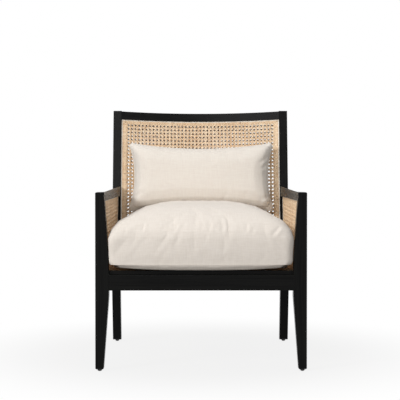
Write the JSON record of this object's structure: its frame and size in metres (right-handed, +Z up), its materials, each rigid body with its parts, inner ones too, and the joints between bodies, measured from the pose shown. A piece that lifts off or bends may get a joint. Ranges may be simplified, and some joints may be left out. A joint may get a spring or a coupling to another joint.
{
  "type": "cane-sided lounge chair",
  "caption": "Low lounge armchair with a dark stained wooden frame, bowed caned back, caned sides, a thick crowned seat cushion and a loose lumbar pillow.",
  "frame": {"origin": "on the floor, under the middle of the overall box", "axes": "+Z up, -Y the side the sitter faces, +X to the right of the chair seen from the front; the front of the chair faces -Y"},
  "size_m": [0.71, 0.8255, 0.895],
  "materials": {
    "stained_hardwood": "satin near-black stain",
    "plain_hardwood": "oiled, unstained",
    "cane_webbing": "natural satin rattan",
    "cane_reed": "natural satin rattan",
    "linen_seat": "matte off-white linen",
    "linen_pillow": "matte off-white linen",
    "glide_plastic": "matte black"
  },
  "bodies": {
    "chair_frame": {"front_leg_left": "stained_hardwood", "front_leg_right": "stained_hardwood", "rear_post_left": "stained_hardwood", "rear_post_right": "stained_hardwood", "arm_left": "stained_hardwood", "arm_right": "stained_hardwood", "front_seat_rail": "stained_hardwood", "rear_seat_rail": "stained_hardwood", "side_seat_rail_left": "stained_hardwood", "side_seat_rail_right": "stained_hardwood", "back_top_rail": "stained_hardwood", "back_lower_rail": "stained_hardwood", "back_cane_front": "cane_webbing", "back_cane_rear": "cane_webbing", "back_reeds_front": "cane_reed", "back_reeds_rear": "cane_reed", "side_cane_outer_left": "cane_webbing", "side_cane_outer_right": "cane_webbing", "side_cane_inner_left": "cane_webbing", "side_cane_inner_right": "cane_webbing", "side_reeds_outer_left": "cane_reed", "side_reeds_outer_right": "cane_reed", "side_reeds_inner_left": "cane_reed", "side_reeds_inner_right": "cane_reed", "corner_blocks": "plain_hardwood", "slat_cleat_left": "plain_hardwood", "slat_cleat_right": "plain_hardwood", "seat_slats": "plain_hardwood", "front_seat_strip": "stained_hardwood", "glides": "glide_plastic"},
    "seat_cushion_body": {"seat_cushion": "linen_seat"},
    "lumbar_pillow_body": {"lumbar_pillow": "linen_pillow"}
  },
  "joints": [
    {"name": "seat_cushion_lift", "type": "slide", "parent": "chair_frame", "child": "seat_cushion_body", "axis": [0, 0, 1], "range_m": [0, 0.3]},
    {"name": "lumbar_pillow_lift", "type": "slide", "parent": "seat_cushion_body", "child": "lumbar_pillow_body", "axis": [0, 0, 1], "range_m": [0, 0.25]}
  ]
}
